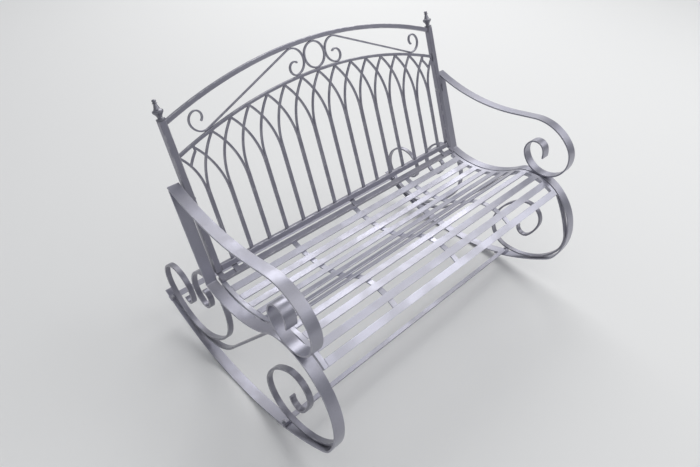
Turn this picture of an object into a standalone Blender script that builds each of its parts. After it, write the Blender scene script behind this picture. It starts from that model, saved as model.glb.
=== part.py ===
# Rocking garden bench in painted steel: two bent side frames, a slatted seat and a tall back.
# Metres, +Z up, the sitter faces -Y. The side curves are bends of flat bar in the (y, z) plane
# and the back's tracery is bends of bar in the back's own (x, s) plane, s running up the rake.

import math

import bmesh
import bpy
import numpy as np
from mathutils import Vector

for oldObject in list(bpy.data.objects):
    bpy.data.objects.remove(oldObject, do_unlink=True)

# Fits
clearance = 0.0003
cutOverrun = 0.004
chordError = 0.0004
widestStep = 15.0

# Overall
benchWidth = 1.300
backRake = 19.8

# Flat bar and narrow bar of the side frames
strapWidth = 0.039
strapThickness = 0.006
scrollWidth = 0.020
scrollThickness = 0.008
scrollInset = 0.0045

# Rocker bar: the runner, with a flat at its lowest place that reaches further to the front,
# so that the bench's weight stands on it
rockerRadius = 0.840
rockerFlat = 0.052
rockerFlatFront = 0.020
rockerFrontSteps = 6
rockerRearSteps = 10
lapSteps = 1
toeSteps = 5

# Seat and front strap, bend by bend from the toe to the fold: radius and sweep
toeRadius = 0.091
frontRadius = 0.233
browRadius = 0.180
crestRadius = 0.106
dipRadius = 0.347
toeSweep = -28.8
frontSweep = -81.0
browSweep = -48.5
crestSweep = -23.3
dipSweep = 56.5

# Arm strap, from the post forward and into its scroll
armDipRadius = 0.740
armCrestRadius = 0.170
armScrollRadius = 0.093
armInnerRadius = 0.050
armCurlRadius = 0.036
armTipRadius = 0.080
armStartAngle = 21.8
armStraight = 0.082
armSweeps = [-30.0, 0.0, 60.0, 199.0, 70.0, 110.0, 25.0]
armBends = list(zip([armDipRadius, armStraight, armCrestRadius, armScrollRadius, armInnerRadius,
                     armCurlRadius, armTipRadius], armSweeps))
armOverhang = 0.010

# Front scroll bar: from the front strap down, round the ring and into its curl
ringPartRadius = 0.030
ringTopRadius = 0.567
ringFrontRadius = 0.123
ringBottomRadius = 0.232
ringRearRadius = 0.102
ringOverRadius = 0.210
ringInnerRadius = 0.066
ringBackRadius = 0.152
ringCurlRadius = 0.030
ringSweeps = [17.8, 49.5, 62.4, 101.4, 48.0, 127.0, 30.5, 144.0]
ringBends = list(zip([ringTopRadius, ringFrontRadius, ringBottomRadius, ringRearRadius,
                      ringOverRadius, ringInnerRadius, ringBackRadius, ringCurlRadius], ringSweeps))
ringMostAngle = 45.0
swanNeckRadius = 0.180
landingRadius = 0.290
landingStep = 8
landedSteps = 1

# Rear scroll bar: from the small scroll's inner end, over, down the bow, up the rear loop
tailCurlRadius = 0.026
tailInnerRadius = 0.045
tailRearRadius = 0.072
tailTopRadius = 0.101
shoulderRadius = 0.060
bowTopRadius = 0.165
bowRadius = 0.356
bowRearRadius = 0.200
loopRadius = 0.092
loopCurlRadius = 0.034
bowDownSweeps = [99.0, 140.0, 59.0, 100.0, 28.0, 45.0]
bowDownBends = list(zip([tailCurlRadius, tailInnerRadius, tailRearRadius, tailTopRadius,
                         shoulderRadius, bowTopRadius], bowDownSweeps))
bowUpSweeps = [37.0, 26.0, 87.0, 207.0, 130.0]
bowUpBends = list(zip([bowTopRadius, bowRadius, bowRearRadius, loopRadius, loopCurlRadius],
                      bowUpSweeps))
bowStartAngle = 159.0
bowReach = 0.015
bowLeastShare = 0.5
bowMostShare = 1.5

# Cross bars between the two rockers
crossWidth = 0.022
crossThickness = 0.005
crossOverhang = 0.004
crossSetback = 0.001
rearCrossStep = 9

# Seat
slatCount = 11
slatWidth = 0.025
slatThickness = 0.005
seatRailGap = 0.005
seatRailWidth = 0.017
seatRailDepth = 0.016
seatFrontReach = 0.0135
seatRearSetback = 0.0115
crossStrapShare = 0.495
crossStrapWidth = 0.020
rearRailWidth = 0.020
rearRailDepth = 0.017
railEndGap = 0.001

# Back, measured up the rake from the spindle feet
footRise = 0.042
uprightGap = 0.00425
uprightWidth = 0.0225
uprightDepth = 0.022
uprightTop = 0.485
bottomRailHeight = 0.020
bottomRailDepth = 0.020
archRise = 0.103
topArchFoot = 0.4765
topArchBar = 0.015
topArchDepth = 0.015
lowerArchFoot = 0.3705
lowerArchBar = 0.0105
lowerArchDepth = 0.012

# Spindles: pairs of rods that part and cross the neighbours' rods below the lower arch
spindleCount = 15
endBayShare = 0.6875
rodWidth = 0.0072
rodDepth = 0.008
rodBendDrop = 0.180

# Centre ring and the scroll bars between the arches
ringBar = 0.006
ringDepth = 0.009
ringSides = 32
scrollBar = 0.0055
scrollDepth = 0.009
scrollCurlRadius = 0.022
scrollCurlTipRadius = 0.015
curlSweeps = [-60.0, -180.0]
curlBends = list(zip([scrollCurlTipRadius, scrollCurlRadius], curlSweeps))
farScrollRadius = 0.040
farScrollInnerRadius = 0.030
farScrollTipRadius = 0.019
farScrollSweeps = [88.0, 100.0, 160.0]
farScrollBends = list(zip([farScrollRadius, farScrollInnerRadius, farScrollTipRadius],
                          farScrollSweeps))
farScrollShare = 0.818

# Finials: a turned profile in shares of its radius and height
finialRadius = 0.0165
finialHeight = 0.062
finialSides = 16
finialShares = [(0.79, 0.0), (0.79, 0.08), (0.45, 0.11), (0.62, 0.16), (0.93, 0.31), (1.0, 0.43),
                (0.9, 0.55), (0.58, 0.69), (0.31, 0.79), (0.2, 0.83), (0.31, 0.89), (0.28, 0.95),
                (0.0, 1.0)]

# Lugs and tabs, welded to the piece that carries them
weldLap = 0.001
postLugRise = 0.235
tabThickness = 0.003
tabWidth = 0.020
tabReach = 0.018
tabShare = 0.9205
tabLap = 0.004
strapTabShares = [0.2, 0.55, 0.9]
lugLength = 0.026
lugHeight = 0.030

paintColour = (0.235, 0.235, 0.290, 1.0)
paintMetallic = 0.35
paintRoughness = 0.38


# A path is a list of (a, b, heading in degrees) stations in one plane
def arcSteps(radius, sweep):
    step = 2.0 * math.degrees(math.acos(max(0.0, 1.0 - chordError / radius)))
    return max(2, math.ceil(abs(sweep) / min(step, widestStep)))


def walk(start, bends):
    # Follows tangent arcs: a positive sweep turns left, a sweep of zero is a straight length
    a, b, heading = start
    path = [start]
    for size, sweep in bends:
        if sweep == 0.0:
            a += size * math.cos(math.radians(heading))
            b += size * math.sin(math.radians(heading))
            path.append((a, b, heading))
            continue
        count = arcSteps(size, sweep)
        for _ in range(count):
            turn = sweep / count
            chord = 2.0 * size * math.sin(math.radians(abs(turn)) / 2.0)
            a += chord * math.cos(math.radians(heading + turn / 2.0))
            b += chord * math.sin(math.radians(heading + turn / 2.0))
            heading += turn
            path.append((a, b, heading))
    return path


def leftOf(heading):
    return -math.sin(math.radians(heading)), math.cos(math.radians(heading))


def offsetPath(path, distance):
    return [(a + distance * leftOf(h)[0], b + distance * leftOf(h)[1], h) for a, b, h in path]


def movePath(path, da, db):
    return [(a + da, b + db, h) for a, b, h in path]


def backwards(path):
    return [(a, b, h + 180.0) for a, b, h in reversed(path)]


def outlineOf(path, thickness, startCut=None, endCut=None):
    # The two long edges of a bar, its ends square or cut along a given direction
    left, right = [], []
    for index, (a, b, heading) in enumerate(path):
        na, nb = leftOf(heading)
        cut = startCut if index == 0 else endCut if index == len(path) - 1 else None
        if cut is not None:
            share = 1.0 / (cut[0] * na + cut[1] * nb)
            na, nb = cut[0] * share, cut[1] * share
        left.append((a + na * thickness / 2.0, b + nb * thickness / 2.0))
        right.append((a - na * thickness / 2.0, b - nb * thickness / 2.0))
    return left, right


def distanceTo(point, chain):
    chain = np.array(chain)
    start, span = chain[:-1], chain[1:] - chain[:-1]
    square = np.maximum((span * span).sum(1), np.finfo(float).tiny)
    along = np.clip(((point - start) * span).sum(1) / square, 0.0, 1.0)
    away = point - start - span * along[:, None]
    return math.sqrt((away * away).sum(1).min())


def gapBetween(edgeOne, edgeTwo):
    # Least distance between two chains of points, each taken against the other's segments
    there = min(distanceTo(np.array(point), edgeTwo) for point in edgeOne)
    return min(there, min(distanceTo(np.array(point), edgeOne) for point in edgeTwo))


def crossTangent(centreOne, radiusOne, centreTwo, radiusTwo):
    # Heading and length of the straight that leaves a right-hand bend for a left-hand one
    spanA, spanB = centreTwo[0] - centreOne[0], centreTwo[1] - centreOne[1]
    span = math.hypot(spanA, spanB)
    heading = math.atan2(spanB, spanA) - math.asin((radiusOne + radiusTwo) / span)
    return math.degrees(heading), math.sqrt(span ** 2 - (radiusOne + radiusTwo) ** 2)


def solve(error, low, high):
    # Bisection: error changes sign between low and high
    sign = error(low) > 0.0
    for _ in range(40):
        middle = (low + high) / 2.0
        if (error(middle) > 0.0) == sign:
            low = middle
        else:
            high = middle
    return (low + high) / 2.0


# Mesh helpers
def paint(name):
    material = bpy.data.materials.new(name + "_paint")
    material.use_nodes = True
    shader = material.node_tree.nodes["Principled BSDF"]
    shader.inputs["Base Color"].default_value = paintColour
    shader.inputs["Metallic"].default_value = paintMetallic
    shader.inputs["Roughness"].default_value = paintRoughness
    material.diffuse_color = paintColour
    return material


def makeObject(name, mesh, smoothAngle=35.0):
    bmesh.ops.recalc_face_normals(mesh, faces=mesh.faces)
    data = bpy.data.meshes.new(name)
    mesh.to_mesh(data)
    mesh.free()
    data.materials.append(paint(name))
    data.shade_smooth()
    data.set_sharp_from_angle(angle=math.radians(smoothAngle))
    made = bpy.data.objects.new(name, data)
    bpy.context.scene.collection.objects.link(made)
    return made


def sidePlace(y, z, x):
    return Vector((x, y, z))


def addBar(mesh, edges, low, high, place):
    # Sweeps a bar from its two long edges, between two levels across their plane
    left, right = edges
    rings = []
    for (la, lb), (ra, rb) in zip(left, right):
        corners = (place(la, lb, low), place(la, lb, high), place(ra, rb, high), place(ra, rb, low))
        rings.append([mesh.verts.new(corner) for corner in corners])
    mesh.faces.new(rings[0])
    mesh.faces.new(reversed(rings[-1]))
    for one, two in zip(rings, rings[1:]):
        for side in range(4):
            after = (side + 1) % 4
            mesh.faces.new((one[side], two[side], two[after], one[after]))


def addPrism(mesh, outline, low, high, place):
    bottom = [mesh.verts.new(place(a, b, low)) for a, b in outline]
    top = [mesh.verts.new(place(a, b, high)) for a, b in outline]
    mesh.faces.new(bottom)
    mesh.faces.new(reversed(top))
    for index in range(len(outline)):
        after = (index + 1) % len(outline)
        mesh.faces.new((bottom[index], top[index], top[after], bottom[after]))


def makeBar(name, edges, low, high, place=sidePlace):
    mesh = bmesh.new()
    addBar(mesh, edges, low, high, place)
    return makeObject(name, mesh)


def addTurned(mesh, base, axis, profile, sides, start=None, hollow=False):
    # Turns a profile of (radius, height) about an axis; an end radius of zero closes to a point
    # and a hollow profile closes on itself
    axis = axis.normalized()
    across = start.normalized() if start else axis.orthogonal().normalized()
    beside = axis.cross(across)
    rings = []
    for radius, height in profile:
        centre = base + axis * height
        if radius == 0.0:
            rings.append([mesh.verts.new(centre)])
            continue
        rings.append([])
        for index in range(sides):
            angle = 2.0 * math.pi * index / sides
            spoke = across * math.cos(angle) + beside * math.sin(angle)
            rings[-1].append(mesh.verts.new(centre + spoke * radius))
    pairs = list(zip(rings, rings[1:]))
    if hollow:
        pairs.append((rings[-1], rings[0]))
    else:
        for ring in (rings[0], rings[-1]):
            if len(ring) > 1:
                mesh.faces.new(ring)
    for one, two in pairs:
        for index in range(sides):
            after = (index + 1) % sides
            if len(one) == 1:
                mesh.faces.new((one[0], two[index], two[after]))
            elif len(two) == 1:
                mesh.faces.new((one[index], two[0], one[after]))
            else:
                mesh.faces.new((one[index], two[index], two[after], one[after]))


def combine(target, mesh, operation):
    # Unites a mesh with an object, or cuts it out, by a Boolean
    bmesh.ops.recalc_face_normals(mesh, faces=mesh.faces)
    data = bpy.data.meshes.new(target.name + "_helper")
    mesh.to_mesh(data)
    mesh.free()
    helper = bpy.data.objects.new(target.name + "_helper", data)
    bpy.context.scene.collection.objects.link(helper)
    helper.hide_render = True
    helper.display_type = 'WIRE'
    step = target.modifiers.new(operation.lower(), 'BOOLEAN')
    step.operation = operation
    step.solver = 'EXACT'
    step.object = helper


# Side frame curves, in (y, z) about the rocker's lowest place
rockerStep = 2.0 * math.degrees(math.asin(rockerFlat / 2.0 / rockerRadius))


def onRocker(step, inward):
    # A station on the rocker's step grid, a given distance inside its ground face
    angle = (step - 0.5 if step > 0 else step + 0.5) * rockerStep
    reach = rockerRadius - inward
    shift = rockerFlatFront if step == -1 else 0.0
    return (reach * math.sin(math.radians(angle)) - shift,
            rockerRadius - reach * math.cos(math.radians(angle)), angle)


def rockerRun(first, last, inward):
    steps = [step for step in range(first, last + 1) if step != 0]
    return [onRocker(step, inward) for step in steps]


rockerPath = rockerRun(-rockerFrontSteps, rockerRearSteps, strapThickness / 2.0)
tailInset = -(clearance + strapThickness / 2.0)
toeFirst = -rockerFrontSteps + lapSteps
toePath = backwards(rockerRun(toeFirst - toeSteps, toeFirst, tailInset))
frontBends = [(toeRadius, toeSweep), (frontRadius, frontSweep), (browRadius, browSweep),
              (crestRadius, crestSweep), (dipRadius, dipSweep)]
seatPath = toePath[:-1] + walk(toePath[-1], frontBends)
foldHeading = seatPath[-1][2] % 360.0
foldPoint = seatPath[-1]
postHeading = 90.0 - backRake

# The fold is mitred half way between the seat strap and the post strap
foldCut = leftOf((foldHeading + postHeading) / 2.0)
foldSetback = clearance / 2.0 / math.cos(math.radians(postHeading - foldHeading) / 2.0)
seatEnd = walk(foldPoint, [(-foldSetback, 0.0)])[-1]
seatPath[-1] = seatEnd
seatEdges = outlineOf(seatPath, strapThickness, endCut=foldCut)
postStart = walk((foldPoint[0], foldPoint[1], postHeading), [(foldSetback, 0.0)])[-1]


def armAt(postLength):
    # The arm's path when the post strap's centre line meets it at a given length
    meeting = walk((foldPoint[0], foldPoint[1], postHeading), [(postLength, 0.0)])[-1]
    path = walk((meeting[0], meeting[1], 180.0 + armStartAngle), armBends)
    heel = walk((meeting[0], meeting[1], armStartAngle), [(armOverhang, 0.0)])[-1]
    return meeting, [(heel[0], heel[1], 180.0 + armStartAngle)] + path[1:]


def densified(points, parts=8):
    dense = []
    for (a, b), (c, d) in zip(points, points[1:]):
        dense += [(a + (c - a) * part / parts, b + (d - b) * part / parts) for part in range(parts)]
    return dense + [points[-1]]


def dropBetween(upper, lower):
    # Least height of one chain of points over another that runs steadily along a
    base = np.array(sorted(lower))
    over = np.array([point for point in densified(upper) if base[0, 0] < point[0] < base[-1, 0]])
    return (over[:, 1] - np.interp(over[:, 0], base[:, 0], base[:, 1])).min()


def armRests(postLength):
    # Height of the scroll's lower half over the crest, less the clearance
    _, path = armAt(postLength)
    outer = outlineOf(path, strapThickness)[1]
    half = [point for point, station in zip(outer, path)
            if math.cos(math.radians(station[2])) > 0.0]
    crestFirst = len(toePath) - 2 + len(walk(toePath[-1], frontBends[:2]))
    return dropBetween(half, seatEdges[0][crestFirst - 2:]) - clearance


postLength = solve(armRests, armScrollRadius * 2.0, armScrollRadius * 5.0)
armMeeting, armPath = armAt(postLength)
armEdges = outlineOf(armPath, strapThickness)
postCutHeading = 180.0 + armStartAngle
postCrossing = math.sin(math.radians(postHeading - armStartAngle))
postEnd = walk(armMeeting[:2] + (postHeading,),
               [(-(strapThickness / 2.0 + clearance) / postCrossing, 0.0)])[-1]
postCut = (math.cos(math.radians(postCutHeading)), math.sin(math.radians(postCutHeading)))
postEdges = outlineOf([postStart, postEnd], strapThickness, startCut=foldCut, endCut=postCut)

# Front scroll bar: it hugs the seat strap over the crest, between the ring and the swan neck
hugInset = strapThickness / 2.0 + clearance + scrollThickness / 2.0
hugFirst = len(toePath) - 2 + len(walk(toePath[-1], frontBends[:2]))
hugLast = len(toePath) - 2 + len(walk(toePath[-1], frontBends[:4]))
hugPath = offsetPath(seatPath[hugFirst:hugLast + 1], -hugInset)


def ringAt(partSweep):
    start = (hugPath[0][0], hugPath[0][1], hugPath[0][2] + 180.0)
    return walk(start, [(ringPartRadius, partSweep)] + ringBends)


def ringClears(partSweep):
    # How far the ring's front stays off the front strap, less the clearance
    free = len(walk((0.0, 0.0, 0.0), [(ringPartRadius, partSweep)] + ringBends[:1]))
    front = [station[:2] for station in ringAt(partSweep)[free:]]
    strap = [station[:2] for station in seatPath[:hugFirst]]
    return gapBetween(front, strap) - hugInset


ringPath = ringAt(solve(ringClears, 0.0, ringMostAngle))
landing = onRocker(landingStep, strapThickness + clearance + scrollThickness / 2.0)
neckStart = hugPath[-1]


def centreBeside(station, radius):
    na, nb = leftOf(station[2])
    return station[0] + na * radius, station[1] + nb * radius


neckCentre = centreBeside(neckStart, -swanNeckRadius)
landingCentre = centreBeside(landing, landingRadius)
neckHeading, neckStraight = crossTangent(neckCentre, swanNeckRadius, landingCentre, landingRadius)
neckTurn = (neckHeading - neckStart[2] + 180.0) % 360.0 - 180.0
neckPath = walk((neckStart[0], neckStart[1], neckHeading - neckTurn),
                [(swanNeckRadius, neckTurn), (neckStraight, 0.0),
                 (landingRadius, landing[2] - neckHeading)])
restPath = rockerRun(landingStep, landingStep + landedSteps,
                     strapThickness + clearance + scrollThickness / 2.0)
frontScrollPath = backwards(ringPath) + hugPath[1:-1] + neckPath[:-1] + restPath
frontScrollEdges = outlineOf(frontScrollPath, scrollThickness)

# Rear scroll bar: it sits on the front scroll bar's tail and its shoulder meets the seat strap
restEdge = outlineOf(neckPath[len(neckPath) // 2:-1] + restPath, scrollThickness)[0]


def bowAt(growShare):
    # The bar with its bends grown alike, its foremost place at its reach, lowered to its rest
    down, up = ([(radius * growShare, sweep) for radius, sweep in bends]
                for bends in (bowDownBends, bowUpBends))
    path = walk((0.0, 0.0, bowStartAngle), down + up)
    foremost = len(walk((0.0, 0.0, bowStartAngle), down)) - 1
    path = movePath(path, bowReach - path[foremost][0], 0.0)
    outer = outlineOf(path, scrollThickness)[1]
    bottom = outer[foremost:foremost + len(walk(path[foremost], up[:3]))]
    return foremost, movePath(path, 0.0, clearance - dropBetween(bottom, restEdge))


def headroom(points, ceiling):
    base = np.array(sorted(ceiling))
    under = np.array([point for point in densified(points) if base[0, 0] < point[0] < base[-1, 0]])
    return (np.interp(under[:, 0], base[:, 0], base[:, 1]) - under[:, 1]).min()


def bowMeets(growShare):
    # Signed gap to the seat strap's underside and the post strap's rear, which form one ceiling
    foremost, path = bowAt(growShare)
    shoulder = outlineOf(path, scrollThickness)[1][foremost // 2:foremost + 1]
    dipCount = len(walk(toePath[-1], frontBends)) - len(walk(toePath[-1], frontBends[:4]))
    ceiling = seatEdges[1][-dipCount:] + postEdges[1]
    return math.copysign(gapBetween(shoulder, ceiling), headroom(shoulder, ceiling)) - clearance


_, bowPath = bowAt(solve(bowMeets, bowLeastShare, bowMostShare))
bowEdges = outlineOf(bowPath, scrollThickness)

# Both side frames
sideShares = tuple(zip(("left", "right"), (-1.0, 1.0)))
sideInner = benchWidth / 2.0 - strapWidth
scrollInner = sideInner + scrollInset
bars = {}
for side, sign in sideShares:
    for name, edges in (("seat_strap", seatEdges), ("post_strap", postEdges), ("arm_strap", armEdges),
                        ("rocker_bar", outlineOf(rockerPath, strapThickness))):
        bars[name + side] = makeBar(side + "_" + name, edges, sign * sideInner, sign * benchWidth / 2.0)
    for name, edges in (("front_scroll_bar", frontScrollEdges), ("rear_scroll_bar", bowEdges)):
        makeBar(side + "_" + name, edges, sign * scrollInner, sign * (scrollInner + scrollWidth))

# Cross bars lie on the rockers, the front one over the lap of rocker bar and toe
for name, step in (("front_cross_bar", -rockerFrontSteps), ("rear_cross_bar", rearCrossStep)):
    chord = rockerRun(step, step + 1, strapThickness + clearance + crossThickness / 2.0)
    heading = math.degrees(math.atan2(chord[1][1] - chord[0][1], chord[1][0] - chord[0][0]))
    start = walk((chord[0][0], chord[0][1], heading), [(crossSetback, 0.0)])[-1]
    crossEdges = outlineOf(walk(start, [(crossWidth, 0.0)]), crossThickness)
    crossEnd = benchWidth / 2.0 + crossOverhang
    makeBar(name, crossEdges, -crossEnd, crossEnd)


# The seat's rails, slats and cross straps follow the seat strap, tops flush with its top
def lengthOf(path):
    return sum(math.dist(one[:2], two[:2]) for one, two in zip(path, path[1:]))


def stationAt(path, length):
    for one, two in zip(path, path[1:]):
        span = math.dist(one[:2], two[:2])
        if length <= span or two is path[-1]:
            share = length / span
            return tuple(p + (q - p) * share for p, q in zip(one, two))
        length -= span


def cutRun(path, first, last):
    # The part of a path between two lengths along it
    kept = [stationAt(path, first)]
    gone = 0.0
    for one, two in zip(path, path[1:]):
        gone += math.dist(one[:2], two[:2])
        if first < gone < last:
            kept.append(two)
    return kept + [stationAt(path, last)]


def lyingOn(face, length, width, thickness):
    # A flat piece across a path at a length along it, resting on the highest places below it
    a, b, heading = stationAt(face, length)
    ahead = np.array((math.cos(math.radians(heading)), math.sin(math.radians(heading))))
    points = np.array([station[:2] for station in face]) - (a, b)
    along, above = points @ ahead, points @ np.array(leftOf(heading))
    beneath = above[(along > -width / 2.0) & (along < width / 2.0)]
    ends = np.interp((-width / 2.0, width / 2.0), along, above)
    lift = max(beneath.max(initial=ends.max()), ends.max()) + clearance + thickness / 2.0
    middle = offsetPath([(a, b, heading)], lift)[0]
    return walk(walk(middle, [(-width / 2.0, 0.0)])[-1], [(width, 0.0)])


seatTop = strapThickness / 2.0 - slatThickness - clearance
seatFace = offsetPath(seatPath[hugFirst:-1] + [foldPoint], seatTop)
frontEnd = walk(seatFace[0], [(-seatFrontReach, 0.0)])[-1]
seatFace = cutRun([frontEnd] + seatFace, 0.0,
                  seatFrontReach + lengthOf(seatFace) - seatRearSetback + rearRailWidth / 2.0)
railOuter = sideInner - seatRailGap
railInner = railOuter - seatRailWidth
sideRun = cutRun(seatFace, 0.0, lengthOf(seatFace) - rearRailWidth - railEndGap)
railEdges = outlineOf(offsetPath(sideRun, slatThickness - seatRailDepth / 2.0), seatRailDepth)
strapEdges = outlineOf(offsetPath(seatFace, -slatThickness / 2.0), slatThickness)
for side, sign in sideShares:
    rail = makeBar(side + "_seat_rail", railEdges, sign * railInner, sign * railOuter)
    tabs = bmesh.new()
    for share in strapTabShares:
        middle = share * lengthOf(seatPath[hugFirst:])
        run = cutRun(seatPath[hugFirst:], middle - tabWidth / 2.0, middle + tabWidth / 2.0)
        run = offsetPath(run, -(strapThickness + tabThickness) / 2.0 - clearance)
        addBar(tabs, outlineOf(run, tabThickness), sign * (railOuter - weldLap),
               sign * (sideInner + tabLap), sidePlace)
    combine(rail, tabs, 'UNION')
for index, place in enumerate((-1.0, 0.0, 1.0)):
    middle = place * crossStrapShare * railOuter
    makeBar("seat_cross_strap_%d" % (index + 1), strapEdges, middle - crossStrapWidth / 2.0,
            middle + crossStrapWidth / 2.0)

firstSlat = slatWidth / 2.0
rearRailAt = lengthOf(seatFace) - rearRailWidth / 2.0
slatPitch = (rearRailAt - firstSlat) / slatCount
slatEnd = railInner - clearance
for index in range(slatCount):
    path = lyingOn(seatFace, firstSlat + index * slatPitch, slatWidth, slatThickness)
    makeBar("seat_slat_%02d" % (index + 1), outlineOf(path, slatThickness), -slatEnd, slatEnd)
rearRailPath = lyingOn(seatFace, rearRailAt, rearRailWidth, rearRailDepth)
rearRail = makeBar("seat_rear_rail", outlineOf(rearRailPath, rearRailDepth), -railOuter, railOuter)

# The back stands in a plane through the fold; x runs across it, s up the rake and n to its front
rakeUp = Vector((0.0, math.sin(math.radians(backRake)), math.cos(math.radians(backRake))))
rakeFront = Vector((0.0, -rakeUp.z, rakeUp.y))
rakeOrigin = Vector((0.0, foldPoint[0], foldPoint[1])) + rakeUp * footRise


def backPlace(x, s, n):
    return rakeOrigin + Vector((x, 0.0, 0.0)) + rakeUp * s + rakeFront * n


def addBlock(mesh, low, high):
    # A block between two corners (x, s, n) of the back
    edges = [(low[0], high[1]), (high[0], high[1])], [(low[0], low[1]), (high[0], low[1])]
    addBar(mesh, edges, low[2], high[2], backPlace)


def makeBlock(name, low, high):
    mesh = bmesh.new()
    addBlock(mesh, low, high)
    return makeObject(name, mesh)


uprightOuter = sideInner - uprightGap
uprightInner = uprightOuter - uprightWidth
uprightCentre = (uprightOuter + uprightInner) / 2.0
spindlePitch = uprightInner / ((spindleCount - 1) / 2.0 + endBayShare)
for side, sign in sideShares:
    makeBlock(side + "_upright", (sign * uprightInner, -bottomRailHeight, -uprightDepth / 2.0),
              (sign * uprightOuter, uprightTop, uprightDepth / 2.0))
railEnd = uprightInner - clearance
makeBlock("bottom_rail", (-railEnd, -bottomRailHeight, -bottomRailDepth / 2.0),
          (railEnd, 0.0, bottomRailDepth / 2.0))


# Arches: stations at every half pitch, ends cut square to the uprights
def archPath(foot):
    radius = (uprightInner ** 2 + archRise ** 2) / 2.0 / archRise
    crown = foot + archRise
    count = math.floor(railEnd / (spindlePitch / 2.0))
    across = [-railEnd] + [index * spindlePitch / 2.0 for index in range(-count, count + 1)] + [railEnd]
    return [(x, crown - radius + math.sqrt(radius ** 2 - x ** 2),
             -math.degrees(math.asin(x / radius))) for x in across]


upwards = (0.0, 1.0)
topArch = outlineOf(archPath(topArchFoot), topArchBar, upwards, upwards)
lowerArch = outlineOf(archPath(lowerArchFoot), lowerArchBar, upwards, upwards)
makeBar("top_arch", topArch, -topArchDepth / 2.0, topArchDepth / 2.0, backPlace)
makeBar("lower_arch", lowerArch, -lowerArchDepth / 2.0, lowerArchDepth / 2.0, backPlace)


def heightOf(edge, x):
    return float(np.interp(x, [point[0] for point in edge], [point[1] for point in edge]))


def clipped(outline, a, b, limit):
    # Keeps the part of an outline where a * x + b * s is at most the limit
    kept = []
    for index, two in enumerate(outline):
        one = outline[index - 1]
        before, after = a * one[0] + b * one[1] - limit, a * two[0] + b * two[1] - limit
        if (before <= 0.0) != (after <= 0.0):
            share = before / (before - after)
            kept.append((one[0] + (two[0] - one[0]) * share, one[1] + (two[1] - one[1]) * share))
        if after <= 0.0:
            kept.append(two)
    return kept


def underArch(outline):
    for one, two in zip(lowerArch[1], lowerArch[1][1:]):
        heading = math.degrees(math.atan2(two[1] - one[1], two[0] - one[0]))
        a, b = leftOf(heading)
        outline = clipped(outline, a, b, a * one[0] + b * one[1] - clearance)
    return outline


def rodPath(foot, sign):
    # Straight up, then one bend that ends at the apex above the next spindle
    last = spindlePitch * (spindleCount - 1) / 2.0
    width = spindlePitch if abs(foot + sign * spindlePitch) < last + clearance else uprightInner - last
    apex = foot + sign * width
    start = foot + sign * (rodWidth - weldLap) / 2.0
    drop = rodBendDrop * width / spindlePitch
    sweep = 2.0 * math.atan2(abs(apex - start), drop)
    radius = drop / math.sin(sweep)
    rise = heightOf(lowerArch[1], apex) - drop
    path = walk((start, clearance, 90.0), [(rise - clearance, 0.0), (radius, -sign * math.degrees(sweep)),
                                           (rodWidth, 0.0)])
    # Half way across the bay it passes the rod that comes from the other side
    middle = foot + sign * width / 2.0
    turn = math.acos(1.0 - abs(middle - start) / radius)
    return path, width, (middle, rise + radius * math.sin(turn), 90.0 - sign * math.degrees(turn))


def rodOutline(foot, sign):
    path, width, _ = rodPath(foot, sign)
    left, right = outlineOf(path, rodWidth)
    fit = clearance if width < spindlePitch else clearance / 2.0
    return clipped(underArch(left + right[::-1]), sign, 0.0, sign * (foot + sign * width) - fit)


def lapCutter(mesh, path, sign):
    # Half the depth of the rod that follows the path, with its fit
    edges = outlineOf(path, rodWidth + 2.0 * clearance)
    addBar(mesh, edges, sign * clearance / 2.0, -sign * (rodDepth / 2.0 + cutOverrun), backPlace)


# Rods that lean right lose the back half at a crossing, rods that lean left the front half
for index in range(spindleCount):
    foot = (index - (spindleCount - 1) / 2.0) * spindlePitch
    laps = bmesh.new()
    rods = []
    for sign in (-1.0, 1.0):
        rods.append(bmesh.new())
        addPrism(rods[-1], rodOutline(foot, sign), -rodDepth / 2.0, rodDepth / 2.0, backPlace)
        neighbour = foot + sign * spindlePitch
        if abs(neighbour) < spindlePitch * spindleCount / 2.0:
            lapCutter(laps, rodPath(neighbour, -sign)[0], sign)
    spindle = makeObject("spindle_%02d" % (index + 1), rods[0])
    combine(spindle, rods[1], 'UNION')
    combine(spindle, laps, 'DIFFERENCE')

# Beside the uprights a stub mirrors the outermost rod, from where they would cross up to the last apex
for side, sign in sideShares:
    foot = sign * spindlePitch * (spindleCount - 1) / 2.0
    path, _, (crossX, crossRise, heading) = rodPath(foot, sign)
    mirrored = [(2.0 * crossX - x, rise, 180.0 - turned) for x, rise, turned in path]
    left, right = outlineOf(mirrored, rodWidth)
    outline = clipped(underArch(left + right[::-1]), -sign, 0.0, -sign * foot - clearance / 2.0)
    a, b = leftOf(heading)
    limit = sign * (a * crossX + b * crossRise) + rodWidth / 2.0 + clearance
    outline = clipped(outline, -sign * a, -sign * b, -limit)
    stub = bmesh.new()
    addPrism(stub, outline, -rodDepth / 2.0, rodDepth / 2.0, backPlace)
    makeObject(side + "_spindle_stub", stub)

# Centre ring, held between the two crowns
ringLow, ringHigh = heightOf(lowerArch[0], 0.0), heightOf(topArch[1], 0.0)
ringRadius = (ringHigh - ringLow) / 2.0 - clearance
ringRise = (ringHigh + ringLow) / 2.0
ring = bmesh.new()
addTurned(ring, backPlace(0.0, ringRise, -ringDepth / 2.0), rakeFront,
          [(ringRadius, 0.0), (ringRadius, ringDepth), (ringRadius - ringBar, ringDepth),
           (ringRadius - ringBar, 0.0)], ringSides, start=rakeUp, hollow=True)
makeObject("centre_ring", ring)


# Back scroll bars: a curl inside a loop that fits beside the ring, then a long run to the far scroll
def loopCentre(radius):
    x = ringRadius + clearance + scrollBar / 2.0 + radius
    return x, (heightOf(lowerArch[0], x) + heightOf(topArch[1], x)) / 2.0


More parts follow.
